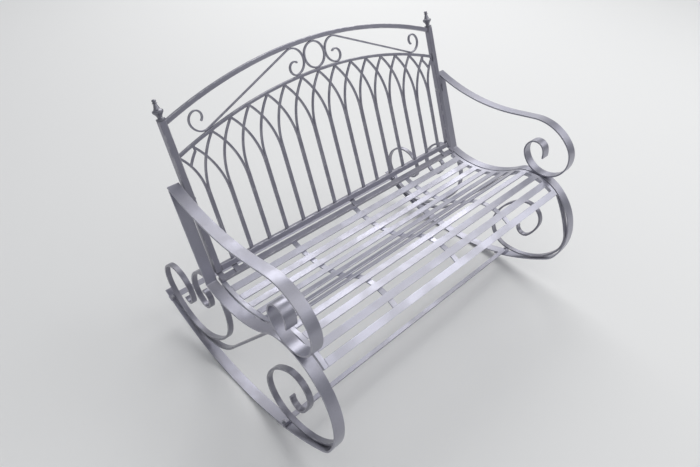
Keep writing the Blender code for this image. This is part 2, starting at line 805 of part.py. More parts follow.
def loopFits(radius):
    centre = np.array(loopCentre(radius))
    room = min(distanceTo(centre, lowerArch[0]), distanceTo(centre, topArch[1]))
    return room - radius - scrollBar / 2.0 - clearance


def farFits(rise):
    room = distanceTo(np.array((farScrollReach, rise)), lowerArch[0])
    return room - farScrollRadius - scrollBar / 2.0 - clearance


def archSlope(x):
    edge = lowerArch[0]
    low, high = heightOf(edge, x - spindlePitch / 2.0), heightOf(edge, x + spindlePitch / 2.0)
    return math.degrees(math.atan2(high - low, spindlePitch))


loopRadius = solve(loopFits, 0.0, ringRadius)
loopMiddle = loopCentre(loopRadius)
farScrollReach = farScrollShare * uprightInner
farBottom = heightOf(lowerArch[0], farScrollReach)
farMiddle = (farScrollReach, solve(farFits, farBottom, farBottom + farScrollRadius * 2.0))
runHeading, runStraight = crossTangent(loopMiddle, loopRadius, farMiddle, farScrollRadius)
loopSlope = archSlope(loopMiddle[0])
farSlope = archSlope(farMiddle[0]) - runHeading
bottom = centreBeside(loopMiddle + (180.0 + loopSlope,), loopRadius)
curl = walk((0.0, 0.0, 180.0 + loopSlope - sum(sweep for _, sweep in curlBends)), curlBends)
curl = movePath(curl, bottom[0] - curl[-1][0], bottom[1] - curl[-1][1])
farBends = [(farScrollRadius, farSlope), (farScrollRadius, farScrollBends[0][1] - farSlope)]
loopBends = [(loopRadius, -90.0), (loopRadius, -90.0), (loopRadius, runHeading - loopSlope),
             (runStraight, 0.0)]
backScroll = curl[:-1] + walk(curl[-1], loopBends + farBends + farScrollBends[1:])
mirrored = [(-x, s, 180.0 - heading) for x, s, heading in backScroll]
for side, path in (("left", mirrored), ("right", backScroll)):
    makeBar(side + "_back_scroll_bar", outlineOf(path, scrollBar), -scrollDepth / 2.0, scrollDepth / 2.0,
            backPlace)

# Finials on the uprights
for side, sign in sideShares:
    finial = bmesh.new()
    addTurned(finial, backPlace(sign * uprightCentre, uprightTop + clearance, 0.0), rakeUp,
              [(wide * finialRadius, high * finialHeight) for wide, high in finialShares], finialSides)
    makeObject(side + "_finial", finial, 50.0)

# Lugs on the post straps reach to the uprights
for side, sign in sideShares:
    lug = bmesh.new()
    addBlock(lug, (sign * (uprightOuter + clearance), postLugRise - lugHeight / 2.0, -lugLength / 2.0),
             (sign * (sideInner + weldLap), postLugRise + lugHeight / 2.0, lugLength / 2.0))
    combine(bars["post_strap" + side], lug, 'UNION')

# Tabs on the seat's rear rail reach under the bottom rail and the uprights
tabs = bmesh.new()
tabBase = offsetPath(rearRailPath, (rearRailDepth + tabThickness - weldLap) / 2.0)[-1]
railFoot = backPlace(0.0, -bottomRailHeight - clearance, 0.0)
upRake = np.array((rakeUp.y, rakeUp.z))
tabHeading = np.array((math.cos(math.radians(tabBase[2])), math.sin(math.radians(tabBase[2]))))
tabLength = ((np.array((railFoot.y, railFoot.z)) - tabBase[:2]) @ upRake) / (tabHeading @ upRake)
tabPath = walk(walk(tabBase, [(-tabReach, 0.0)])[-1], [(tabReach + tabLength, 0.0)])
tabPlace = tabShare * railEnd
tabEdges = outlineOf(tabPath, tabThickness + weldLap, endCut=(rakeFront.y, rakeFront.z))
for x in (-uprightCentre, -tabPlace, 0.0, tabPlace, uprightCentre):
    addBar(tabs, tabEdges, x - tabWidth / 2.0, x + tabWidth / 2.0, sidePlace)
combine(rearRail, tabs, 'UNION')

# The origin is the middle of the footprint, at the ground
bpy.context.view_layer.update()
visible = [item for item in bpy.data.objects if not item.hide_render]
corners = np.array([item.matrix_world @ Vector(corner) for item in visible for corner in item.bound_box])
low, high = corners.min(0), corners.max(0)
for item in bpy.data.objects:
    item.location -= Vector(((low[0] + high[0]) / 2.0, (low[1] + high[1]) / 2.0, low[2]))
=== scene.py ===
# Looks for the rocking garden bench: bent flat bar, slats, tracery and finials in satin grey paint.
# Every piece rides on the one rigid body. The welds and fasteners replace no node, and each other piece
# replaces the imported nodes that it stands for.

import math

import bpy
import numpy as np
from mathutils import Matrix, Vector


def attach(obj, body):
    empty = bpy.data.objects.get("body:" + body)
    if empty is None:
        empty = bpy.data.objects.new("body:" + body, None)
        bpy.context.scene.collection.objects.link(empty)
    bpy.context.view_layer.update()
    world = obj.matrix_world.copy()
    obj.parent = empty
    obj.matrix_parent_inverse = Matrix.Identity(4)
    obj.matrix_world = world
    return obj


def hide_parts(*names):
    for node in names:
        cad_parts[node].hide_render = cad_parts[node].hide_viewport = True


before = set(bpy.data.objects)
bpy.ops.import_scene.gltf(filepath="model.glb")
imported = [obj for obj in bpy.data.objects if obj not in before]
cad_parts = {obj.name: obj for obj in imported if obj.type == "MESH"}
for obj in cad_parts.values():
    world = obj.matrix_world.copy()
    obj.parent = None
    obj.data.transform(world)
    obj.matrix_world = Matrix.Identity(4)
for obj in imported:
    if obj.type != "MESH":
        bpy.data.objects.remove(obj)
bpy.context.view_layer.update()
print("packed frame loaded:", len(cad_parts), "nodes")

# Planes: an origin, the two directions that a path runs in, and the one across it
sidePlane = np.array([(0, 0, 0), (0, 1, 0), (0, 0, 1), (1, 0, 0)], float)
backPlane = np.array([(0, 0.124453, 0.479984), (1, 0, 0), (0, 0.33874, 0.94088), (0, -0.94088, 0.33874)])


def inSpace(plane, points):
    # A point is the origin plus its three coordinates times the plane's three directions
    return plane[0] + points @ plane[1:]


# Paths: rows of two coordinates in a plane and the heading there, in radians
pathSteps = {"straight": 0.03, "chord": 0.005, "degrees": 7.0}


def bendPath(start, bends, chord=pathSteps["chord"]):
    # Tangent arcs: each point is the arc's centre plus the radius turned by its share of the sweep,
    # and a bend of zero sweep is a straight of that length. The start's heading is in degrees.
    a, b, heading = start[0], start[1], math.radians(start[2])
    parts = [np.array([[a, b, heading]])]
    for size, sweep in bends:
        if sweep == 0.0:
            along = np.linspace(0.0, size, max(2, math.ceil(size / pathSteps["straight"])) + 1)[1:]
            run = np.stack([a + along * math.cos(heading), b + along * math.sin(heading),
                            np.full_like(along, heading)], 1)
        else:
            turn = math.radians(sweep)
            side = math.copysign(size, turn)
            count = max(3, math.ceil(abs(turn) * size / chord), math.ceil(abs(sweep) / pathSteps["degrees"]))
            angles = heading + np.linspace(0.0, turn, count + 1)[1:]
            run = np.stack([a + side * (np.sin(angles) - math.sin(heading)),
                            b - side * (np.cos(angles) - math.cos(heading)), angles], 1)
        parts.append(run)
        a, b, heading = run[-1]
    return np.concatenate(parts)


def lengthsOf(path):
    return np.concatenate([[0.0], np.cumsum(np.hypot(*np.diff(path[:, :2], axis=0).T))])


def sampled(path, lengths):
    # A path's stations at given lengths along it, between its own stations by straight shares
    own = lengthsOf(path)
    return np.stack([np.interp(lengths, own, path[:, column]) for column in range(3)], 1)


def shifted(path, distance):
    # The path moved to its left by a distance
    left = np.stack([-np.sin(path[:, 2]), np.cos(path[:, 2])], 1)
    return np.concatenate([path[:, :2] + left * distance, path[:, 2:]], 1)


def reversedPath(path):
    return np.concatenate([path[::-1, :2], path[::-1, 2:] + math.pi], 1)


# Meshes
def gridFaces(rows, columns, closed=False):
    # Quads between neighbouring rows and columns, the columns closed into a ring, and the rows if asked
    row, column = np.meshgrid(np.arange(rows if closed else rows - 1), np.arange(columns), indexing="ij")
    nextRow, nextColumn = (row + 1) % rows, (column + 1) % columns
    return np.stack([row * columns + column, row * columns + nextColumn,
                     nextRow * columns + nextColumn, nextRow * columns + column], -1).reshape(-1, 4)


def outward(points, quads):
    # The signed volume is a sixth of the sum of each triangle's triple product; negative turns all
    first, second = quads[:, [0, 1, 2]], quads[:, [0, 2, 3]]
    corners = points[np.concatenate([first, second])]
    volume = np.einsum("ij,ij->i", corners[:, 0], np.cross(corners[:, 1], corners[:, 2])).sum()
    return quads if volume > 0.0 else quads[:, ::-1]


def skinned(points, normals, wearAndHighlight, closed=False):
    # A skin over rings of points; open ends are closed by a strip of quads across the ring
    rows, columns = points.shape[:2]
    faces = [gridFaces(rows, columns, closed)]
    if not closed:
        strip = np.arange(columns // 2 - 1)
        cap = np.stack([strip, strip + 1, columns - 2 - strip, columns - 1 - strip], 1)
        faces += [cap[:, ::-1], cap + (rows - 1) * columns]
    points = points.reshape(-1, 3)
    return points, normals.reshape(-1, 3), outward(points, np.concatenate(faces)), wearAndHighlight.ravel()


def makePiece(name, parts, material, nodes=()):
    # One mesh from several skins, as whole arrays of points, given normals, quads and each point's share of
    # edge wear and painted highlight. The quads' point numbers move up by the points of the skins before
    # them.
    starts = np.cumsum([0] + [len(part[0]) for part in parts])
    points, normals, quads, wearAndHighlight = (np.concatenate(arrays) for arrays in zip(*(
        (part[0], part[1], part[2] + first, part[3]) for part, first in zip(parts, starts))))
    mesh = bpy.data.meshes.new(name)
    mesh.vertices.add(len(points))
    mesh.vertices.foreach_set("co", points.astype(np.float32).ravel())
    mesh.loops.add(quads.size)
    mesh.loops.foreach_set("vertex_index", quads.astype(np.int32).ravel())
    mesh.polygons.add(len(quads))
    mesh.polygons.foreach_set("loop_start", np.arange(0, quads.size, 4, dtype=np.int32))
    mesh.update(calc_edges=True)
    mesh.validate()
    mesh.shade_smooth()
    mesh.attributes.new("wearAndHighlight", "FLOAT", "POINT").data.foreach_set("value", wearAndHighlight.astype(np.float32))
    mesh.normals_split_custom_set_from_vertices(normals.astype(np.float32))
    mesh.materials.append(material)
    piece = bpy.data.objects.new(name, mesh)
    bpy.context.scene.collection.objects.link(piece)
    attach(piece, "root")
    if nodes:
        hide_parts(*nodes)


# Sections: each point has its corner's centre, its outward direction and its share of edge wear and painted
# highlight
edgeWearAndHighlight = {"reach": 0.0016, "share": 0.12, "perTurn": 1.2}


def barSection(width, thickness, corner, steps=3):
    # A rectangle whose corners are quarter circles, with a point inside each flat where the edge wear and
    # painted highlight end
    support = min(edgeWearAndHighlight["reach"], min(width, thickness) * edgeWearAndHighlight["share"])
    angles = np.concatenate([[0.0], np.linspace(0.0, 90.0, steps + 1), [90.0]])
    inset = np.zeros((4, len(angles), 2))
    inset[:, 0, 1] = inset[:, -1, 0] = -support
    inset[1::2] = inset[1::2][:, :, ::-1]
    quarter = np.radians(np.arange(4)[:, None] * 90.0 + angles)
    direction = np.stack([np.cos(quarter), np.sin(quarter)], -1)
    signs = np.array([(1, 1), (-1, 1), (-1, -1), (1, -1)], float)
    half = np.array([width, thickness]) / 2.0 - corner
    wearAndHighlight = np.ones((4, len(angles)))
    wearAndHighlight[:, 0] = wearAndHighlight[:, -1] = 0.0
    centre = signs[:, None, :] * (half + inset)
    return centre.reshape(-1, 2), direction.reshape(-1, 2), wearAndHighlight.ravel(), corner


def evenSection(radius, sides, corner, steps=3):
    # A regular polygon with rounded corners: a nut with six sides, a washer or a rod with many
    middle = np.arange(sides) * 2.0 * math.pi / sides
    half = math.pi / sides
    angles = middle[:, None] + np.linspace(-half, half, steps)
    direction = np.stack([np.cos(angles), np.sin(angles)], -1)
    reach = (radius - corner) * np.stack([np.cos(middle), np.sin(middle)], -1)[:, None, :]
    centre = np.broadcast_to(reach, direction.shape)
    return centre.reshape(-1, 2), direction.reshape(-1, 2), np.ones(sides * steps), corner


endRounding = {"cornerShare": 0.9, "keptClear": 1.6, "degrees": (0.0, 30.0, 60.0, 90.0)}


def sweptBar(path, section, plane, across=0.0, closed=False):
    # Carries the section along the path: a point is the station, plus the section's first coordinate
    # across the plane and its second to the path's left. The ends are rounded by shrinking the
    # section along a quarter circle over the last part of the length.
    centre, direction, sectionWearAndHighlight, corner = section
    endRound = corner * endRounding["cornerShare"]
    phase = np.radians(() if closed else endRounding["degrees"])
    if not closed:
        own = lengthsOf(path)
        clear = endRound * endRounding["keptClear"]
        first = endRound * (1.0 - np.cos(phase))
        inner = own[(own > clear) & (own < own[-1] - clear)]
        path = sampled(path, np.concatenate([first, inner, own[-1] - first[::-1]]))
    turn = np.concatenate([phase - math.pi / 2.0, np.zeros(len(path) - 2 * len(phase)),
                           (math.pi / 2.0 - phase)[::-1]])
    wearAndHighlight = np.tile(sectionWearAndHighlight, (len(path), 1))
    wearAndHighlight[turn != 0.0] = 1.0
    shrink = endRound * (1.0 - np.cos(turn))
    left = np.stack([-np.sin(path[:, 2]), np.cos(path[:, 2])], 1)[:, None, :]
    ahead = np.stack([np.cos(path[:, 2]), np.sin(path[:, 2])], 1)[:, None, :]
    flat = centre[None] + direction[None] * (corner - shrink)[:, None, None]
    points = np.concatenate([path[:, None, :2] + left * flat[..., 1:], across + flat[..., :1]], -1)
    leanIn = np.cos(turn)[:, None, None]
    inPlane = left * direction[None, :, 1:] * leanIn + ahead * np.sin(turn)[:, None, None]
    normals = np.concatenate([inPlane, direction[None, :, :1] * leanIn], -1)
    return skinned(inSpace(plane, points), normals @ plane[1:], wearAndHighlight, closed)


def framesAlong(axes):
    # For each axis, two directions square to it and to each other
    axes = axes / np.linalg.norm(axes, axis=-1, keepdims=True)
    helper = np.where(np.abs(axes[..., :1]) < 0.9, (1.0, 0.0, 0.0), (0.0, 1.0, 0.0))
    first = np.cross(axes, helper)
    first /= np.linalg.norm(first, axis=-1, keepdims=True)
    return axes, first, np.cross(axes, first)


def turned(base, axis, profile, sides=40):
    # A lathe: a point stands at its height on the axis and at its radius round it; the normal is the
    # profile's own, square to its slope, and the edge wear and painted highlight are strongest where the
    # profile turns
    axis, first, second = framesAlong(np.array(axis, float))
    angles = np.linspace(0.0, 2.0 * math.pi, sides, endpoint=False)[:, None]
    around = np.cos(angles) * first + np.sin(angles) * second
    radii, heights = profile[:, 0, None, None], profile[:, 1, None, None]
    slope = np.gradient(profile, axis=0)
    slope /= np.maximum(np.linalg.norm(slope, axis=1, keepdims=True), 1e-9)
    normals = around * slope[:, 1, None, None] - axis * slope[:, 0, None, None]
    bend = np.abs(np.gradient(np.unwrap(np.arctan2(slope[:, 1], slope[:, 0])))) * edgeWearAndHighlight["perTurn"]
    wearAndHighlight = np.repeat(np.clip(bend, 0.0, 1.0)[:, None], sides, 1)
    return skinned(base + heights * axis + radii * around, normals, wearAndHighlight)


def boltParts(base, axis, look):
    # A washer, a nut and the rounded end of the bolt, standing on a surface at the base
    axis, first, second = framesAlong(np.array(axis, float))
    plane = np.stack([np.array(base, float), axis, first, second])
    parts, rise = [], 0.0
    for part in (look["washer"], look["nut"], look["shank"]):
        run = np.array([(rise + share * part["height"], 0.0, 0.0) for share in (0.0, 0.5, 1.0)])
        corner = min(look["mostCorner"], part["height"] * look["cornerShare"])
        parts.append(sweptBar(run, evenSection(part["radius"], part["sides"], corner), plane))
        rise += part["height"] - look["sink"]
    return parts


def domeParts(base, axis, look):
    # A washer below a domed head
    axis = np.array(axis, float) / np.linalg.norm(axis)
    washer, dome = look["washer"], look["dome"]
    angles = np.linspace(0.0, math.pi / 2.0, dome["steps"], endpoint=False)[1:]
    foot = np.array([(washer["radius"], 0.0), (washer["radius"], washer["height"] * look["bevelShare"]),
                     (washer["radius"] - look["bevel"], washer["height"]),
                     (dome["radius"], washer["height"])])
    head = np.stack([dome["radius"] * np.cos(angles), washer["height"] + dome["height"] * np.sin(angles)], 1)
    pole = [(look["pole"], head[-1, 1] * look["poleRise"])]
    return [turned(np.array(base, float), axis, np.concatenate([foot, head, pole]), dome["sides"])]


beadLook = {"stations": 15, "around": 10, "phase": 2.4, "power": 6, "least": 0.004, "swell": 0.13,
            "wearAndHighlight": 0.35}


def weldBeads(spots, radius, ripples=3.5):
    # Beads between pairs of points, all as one array: the radius holds along the middle and falls away
    # at both ends, it swells a little at each ripple, and neighbours differ by their own phase
    spots = np.array(spots, float).reshape(-1, 2, 3)
    share = np.linspace(0.0, 1.0, beadLook["stations"])
    run = spots[:, 1] - spots[:, 0]
    axes, first, second = framesAlong(run)
    angles = np.linspace(0.0, 2.0 * math.pi, beadLook["around"], endpoint=False)
    phase = np.arange(len(spots))[:, None] * beadLook["phase"]
    shape = np.sqrt(np.maximum(1.0 - (2.0 * share - 1.0) ** beadLook["power"], beadLook["least"]))
    swell = 1.0 + beadLook["swell"] * np.sin(share * ripples * 2.0 * math.pi + phase)
    size = radius * shape * swell
    around = np.cos(angles)[None, :, None] * first[:, None] + np.sin(angles)[None, :, None] * second[:, None]
    points = (spots[:, None, None, 0] + run[:, None, None] * share[None, :, None, None]
              + around[:, None] * size[:, :, None, None])
    lean = -np.gradient(size, axis=1) * (len(share) - 1.0) / np.linalg.norm(run, axis=1)[:, None]
    normals = around[:, None] + axes[:, None, None] * lean[:, :, None, None]
    normals /= np.linalg.norm(normals, axis=-1, keepdims=True)
    wearAndHighlight = np.full(size.shape + (beadLook["around"],), beadLook["wearAndHighlight"])
    return [skinned(*bead) for bead in zip(points, normals, wearAndHighlight)]


# Shader maths: one class wraps a socket, so that an expression adds its Math nodes
class Wired:
    def __init__(self, tree, socket):
        self.tree, self.socket = tree, socket

    def node(self, kind, settings=None, output=0, **inputs):
        # Adds any node: its settings first, then the values or links of its sockets, which are given by
        # name or, after an underscore, by number
        made = self.tree.nodes.new(kind)
        for key, value in (settings or {}).items():
            setattr(made, key, value)
        for key, value in inputs.items():
            socket = made.inputs[int(key[1:]) if key[1:].isdigit() else key]
            if isinstance(value, Wired):
                self.tree.links.new(value.socket, socket)
            else:
                socket.default_value = value
        return Wired(self.tree, made.outputs[output])

    def maths(self, operation, first, second):
        return self.node("ShaderNodeMath", {"operation": operation}, _0=first, _1=second)

    def __add__(self, other): return self.maths("ADD", self, other)
    def __radd__(self, other): return self.maths("ADD", other, self)
    def __sub__(self, other): return self.maths("SUBTRACT", self, other)
    def __rsub__(self, other): return self.maths("SUBTRACT", other, self)
    def __mul__(self, other): return self.maths("MULTIPLY", self, other)
    def __rmul__(self, other): return self.maths("MULTIPLY", other, self)

    def band(self, low, high):
        # 0 below low, 1 above high, and a soft step between
        return self.node("ShaderNodeMapRange", {"interpolation_type": "SMOOTHSTEP"}, Value=self,
                         **{"From Min": low, "From Max": high})

    def mixed(self, first, second):
        # A colour between two others, this value being the share of the second
        return self.node("ShaderNodeMix", {"data_type": "RGBA"}, output=2, _0=self, _6=first, _7=second)

    def noise(self, scale, detail, roughness):
        return self.node("ShaderNodeTexNoise", Vector=self, Scale=scale, Detail=detail, Roughness=roughness)


# One grey paint throughout: the seat's lighter copy is a painted highlight where its slats face up, and the
# darker copies on the side frames, scrolls, back and finials are painted shade where their faces turn
# sideways
paintLook = {
    "sideFrames": {"colour": (0.345, 0.342, 0.400), "metal": 0.82, "rough": 0.34, "seed": 0.0},
    "scrolls": {"colour": (0.245, 0.242, 0.286), "metal": 0.80, "rough": 0.35, "seed": 2.6},
    "seat": {"colour": (0.440, 0.438, 0.505), "metal": 0.82, "rough": 0.34, "seed": 3.7},
    "back": {"colour": (0.285, 0.280, 0.332), "metal": 0.78, "rough": 0.36, "seed": 8.1},
    "finials": {"colour": (0.230, 0.228, 0.265), "metal": 0.74, "rough": 0.34, "seed": 5.3},
    "welds": {"colour": (0.225, 0.222, 0.262), "metal": 0.70, "rough": 0.45, "seed": 1.9},
    "fasteners": {"colour": (0.420, 0.420, 0.460), "metal": 0.90, "rough": 0.28, "seed": 6.4},
}
# Each noise is its scale, detail and roughness, and each band where a mask starts and is full
paintMakeup = {
    "broad": (7.0, 4.0, 0.6), "cloud": (38.0, 3.0, 0.55), "peel": (420.0, 2.0, 0.5),
    "lumps": (95.0, 2.0, 0.5), "flakeScale": 1400.0, "patchBand": (0.40, 0.66), "wornAndHighlitBand": (0.15, 0.95),
    "upwardBand": (0.35, 0.95), "dustBand": (0.42, 0.62), "mottle": 0.20, "flake": 0.16,
    "edgeLight": 0.22, "dust": 0.40, "dustShare": 0.30, "dustColour": (0.42, 0.40, 0.37),
    "roughSpread": 0.10, "dustRough": 0.12, "wornRough": 0.05, "dustMetal": 0.25, "peelShare": 0.35,
    "peelHeight": 0.00010, "bump": 0.6, "coat": 0.25, "coatRough": 0.22,
}


def satinPaint(name, look):
    # Metallic paint: broad mottling, fine flake, lighter paint at the edges, partly thinner paint from wear
    # and partly a painted highlight, a little dust on what faces up, and an orange-peel bump
    material = bpy.data.materials.new(name)
    material.use_nodes = True
    tree = material.node_tree
    shader = tree.nodes["Principled BSDF"]
    start = Wired(tree, None)
    place = start.node("ShaderNodeTexCoord", output=3)
    place = start.node("ShaderNodeMapping", Vector=place, Location=(look["seed"],) * 3)
    broad = place.noise(*paintMakeup["broad"])
    cloud = place.noise(*paintMakeup["cloud"])
    flake = place.node("ShaderNodeTexVoronoi", {"feature": "F1"}, output=1, Vector=place,
                       Scale=paintMakeup["flakeScale"])
    flakeTone = start.node("ShaderNodeSeparateColor", Color=flake)
    edge = start.node("ShaderNodeAttribute", {"attribute_name": "wearAndHighlight"}, output=2)
    facing = start.node("ShaderNodeNewGeometry", output=1)
    upward = start.node("ShaderNodeSeparateXYZ", output=2, Vector=facing)
    # The edge mask: paint worn thin at the edges, together with a painted highlight along them
    wornAndHighlit = (edge * cloud.band(*paintMakeup["patchBand"])).band(*paintMakeup["wornAndHighlitBand"])
    dust = upward.band(*paintMakeup["upwardBand"]) * broad.band(*paintMakeup["dustBand"])

    tone = 1.0 + (broad - 0.5) * paintMakeup["mottle"] + (flakeTone - 0.5) * paintMakeup["flake"]
    base = look["colour"]
    # Edges lighter by this share: partly wear, partly a painted highlight
    lifted = tuple(value + (1.0 - value) * paintMakeup["edgeLight"] for value in base)
    dusty = tuple(value + (tint - value) * paintMakeup["dustShare"]
                  for value, tint in zip(base, paintMakeup["dustColour"]))
    colour = wornAndHighlit.mixed(base + (1.0,), lifted + (1.0,))
    colour = (dust * paintMakeup["dust"]).mixed(colour, dusty + (1.0,))
    colour = start.node("ShaderNodeVectorMath", {"operation": "SCALE"}, _0=colour, Scale=tone)
    rough = (look["rough"] + (cloud - 0.5) * paintMakeup["roughSpread"] + dust * paintMakeup["dustRough"]
             - wornAndHighlit * paintMakeup["wornRough"])
    metal = look["metal"] - dust * paintMakeup["dustMetal"]
    height = (place.noise(*paintMakeup["peel"]) * paintMakeup["peelShare"]
              + place.noise(*paintMakeup["lumps"]) * (1.0 - paintMakeup["peelShare"]))
    bump = start.node("ShaderNodeBump", Height=height, Strength=paintMakeup["bump"],
                      Distance=paintMakeup["peelHeight"])
    for name, value in (("Base Color", colour), ("Roughness", rough), ("Metallic", metal), ("Normal", bump)):
        tree.links.new(value.socket, shader.inputs[name])
    shader.inputs["Specular IOR Level"].default_value = 0.5
    shader.inputs["Coat Roughness"].default_value = paintMakeup["coatRough"]
    shader.inputs["Coat Weight"].default_value = paintMakeup["coat"]
    return material


paints = {name: satinPaint(name + "Paint", look) for name, look in paintLook.items()}
print("paints made:", ", ".join(paints))

# Side frames: the same paths on both sides, mirrored by the sign of x
sideFrame = {
    "strapX": 0.6305, "strapWidth": 0.039, "strapThickness": 0.006, "strapCorner": 0.0010,
    "scrollX": 0.6255, "scrollWidth": 0.020, "scrollThickness": 0.008, "scrollCorner": 0.0013,
    "foldRadius": 0.009, "foldChord": 0.0012, "lugX": (0.6062, 0.6095, 0.6125), "lugRise": 0.235,
    "lugSize": (0.026, 0.030), "lugCorner": 0.0008,
}
seatBends = {"start": (-0.20136, 0.02882, 164.036), "lap": (0.8433, -17.737), "toe": (0.091, -28.8),
             "front": (0.233, -81.0), "brow": (0.180, -48.5), "crest": (0.106, -23.3),
             "dip": (0.347, 56.5), "fold": 49.0, "post": 0.3265}
rockerBend = {"start": (-0.24898, 0.05106, -19.511), "radius": 0.837, "sweep": 53.212}
armBends = {"start": (0.23217, 0.75710, 201.8),
            "bends": [(0.010, 0.0), (0.740, -30.0), (0.082, 0.0), (0.170, 60.0), (0.093, 199.0),
                      (0.050, 70.0), (0.036, 110.0), (0.080, 25.0)]}
ringBends = {"start": (-0.39514, 0.46072, 216.499),
             "bends": [(0.030, 18.458), (0.567, 17.8), (0.123, 49.5), (0.232, 62.4), (0.102, 101.4),
                       (0.210, 48.0), (0.066, 127.0), (0.152, 30.5), (0.030, 144.0)]}
neckBends = {"start": (-0.39514, 0.46072, 36.499),
             "bends": [(0.1727, -48.5), (0.0987, -23.3), (0.180, -13.835), (0.36811, 0.0),
                       (0.290, 75.742), (0.8297, 3.547)]}
bowBends = {"start": (0.18526, 0.34958, 159.0), "grown": 1.005815,
            "bends": [(0.026, 99.0), (0.045, 140.0), (0.072, 59.0), (0.101, 100.0), (0.060, 28.0),
                      (0.165, 45.0), (0.165, 37.0), (0.356, 26.0), (0.200, 87.0), (0.092, 207.0),
                      (0.034, 130.0)]}

# The seat's strap turns sharply at the fold, where the post begins
strapPath = bendPath(seatBends["start"],
                     [seatBends[name] for name in ("lap", "toe", "front", "brow", "crest", "dip")])
foldLength = lengthsOf(strapPath)[-1]
foldTangent = sideFrame["foldRadius"] * math.tan(math.radians(seatBends["fold"] / 2.0))
strapRun = sampled(strapPath, np.append(lengthsOf(strapPath)[:-1], foldLength - foldTangent))
strapRun = strapRun[lengthsOf(strapPath) <= foldLength - foldTangent / 2.0]
postRun = bendPath((strapRun[-1, 0], strapRun[-1, 1], math.degrees(strapRun[-1, 2])),
                   [(sideFrame["foldRadius"], seatBends["fold"]), (seatBends["post"], 0.0)],
                   sideFrame["foldChord"])
strapPath = np.concatenate([strapRun, postRun[1:]])
rockerPath = bendPath(rockerBend["start"], [(rockerBend["radius"], rockerBend["sweep"])])
armPath = bendPath(armBends["start"], armBends["bends"])
scrollPath = np.concatenate([reversedPath(bendPath(ringBends["start"], ringBends["bends"]))[:-1],
                             bendPath(neckBends["start"], neckBends["bends"])])
bowPath = bendPath(bowBends["start"], [(radius * bowBends["grown"], sweep)
                                       for radius, sweep in bowBends["bends"]])

sides = (("left", -1.0), ("right", 1.0))
strapSection = barSection(sideFrame["strapWidth"], sideFrame["strapThickness"], sideFrame["strapCorner"])
scrollSection = barSection(sideFrame["scrollWidth"], sideFrame["scrollThickness"], sideFrame["scrollCorner"])
lugSection = barSection(*sideFrame["lugSize"], sideFrame["lugCorner"])
for side, sign in sides:
    lugPath = np.array([(sign * x, sideFrame["lugRise"], 0.0) for x in sideFrame["lugX"]])[::int(sign)]
    lug = sweptBar(lugPath, lugSection, backPlane)
    for label, path, section, x, paint, nodes in (
            ("SeatStrap", strapPath, strapSection, "strapX", "sideFrames", ("_seat_strap", "_post_strap")),
            ("RockerBar", rockerPath, strapSection, "strapX", "sideFrames", ("_rocker_bar",)),
            ("ArmStrap", armPath, strapSection, "strapX", "sideFrames", ("_arm_strap",)),
            ("FrontScroll", scrollPath, scrollSection, "scrollX", "scrolls", ("_front_scroll_bar",)),
            ("RearScroll", bowPath, scrollSection, "scrollX", "scrolls", ("_rear_scroll_bar",))):
        parts = [sweptBar(path, section, sidePlane, sign * sideFrame[x])]
        if label == "SeatStrap":
            parts.append(lug)
        makePiece(side + label, parts, paints[paint], [side + node for node in nodes])
print("side frames bent")

# Cross bars: flat bars that lie over the runners from side to side
crossBars = {"halfLength": 0.654, "thickness": 0.005, "corner": 0.0009,
             "front": [(-0.24609, 0.05582), (-0.22513, 0.04912)],
             "rear": [(0.44895, 0.12140), (0.46762, 0.13304)]}


def acrossBar(ends, thickness, halfLength, corner):
    # A straight bar along x: its section stands on the line between two places in the side plane
    (ya, za), (yb, zb) = ends
    heading = math.atan2(zb - za, yb - ya)
    cosine, sine = math.cos(heading), math.sin(heading)
    plane = np.array([(0.0, (ya + yb) / 2.0, (za + zb) / 2.0), (1.0, 0.0, 0.0),
                      (0.0, -sine, cosine), (0.0, cosine, sine)])
    path = np.array([(share * halfLength, 0.0, 0.0) for share in (-1.0, -0.5, 0.0, 0.5, 1.0)])
    return sweptBar(path, barSection(math.hypot(yb - ya, zb - za), thickness, corner), plane)


for label in ("front", "rear"):
    bar = acrossBar(crossBars[label], crossBars["thickness"], crossBars["halfLength"], crossBars["corner"])
    makePiece(label + "CrossBar", [bar], paints["sideFrames"], (label + "_cross_bar",))

# Seat: rails and cross straps along the seat's curve, slats across it
seat = {
    "face": (-0.40896, 0.45671, 36.499),
    "faceBends": [(0.0135, 0.0), (0.1777, -48.5), (0.1037, -23.3), (0.3493, 56.25)],
    "railX": 0.5975, "railWidth": 0.017, "railDepth": 0.016, "railCorner": 0.0016,
    "railRun": 0.5290, "slatHalf": 0.5893, "slatWidth": 0.025, "slatThickness": 0.005, "slatCorner": 0.0009,
    "crossStrapX": 0.300, "crossStrapWidth": 0.020,
    "rearRail": [(0.08777, 0.43976), (0.10665, 0.44637)], "rearRailDepth": 0.017, "rearRailHalf": 0.606,
    "slats": [(-0.41063, 0.45896, 36.499), (-0.36986, 0.48537, 21.386), (-0.32354, 0.49991, 5.949),
              (-0.27502, 0.50182, -9.487), (-0.22746, 0.48963, -34.148), (-0.18769, 0.46363, -27.792),
              (-0.14499, 0.44305, -19.941), (-0.09998, 0.42815, -12.091), (-0.05330, 0.41993, -4.240),
              (-0.00593, 0.41781, 3.611), (0.04123, 0.42247, 11.462)],
    "tabs": [[(-0.30906, 0.49597), (-0.28964, 0.49676)], [(-0.13790, 0.43439), (-0.11865, 0.42808)],
             [(0.04973, 0.41831), (0.06948, 0.42289)]],
    "tabX": 0.610, "tabWidth": 0.010, "tabThickness": 0.003, "tabCorner": 0.0007,
}
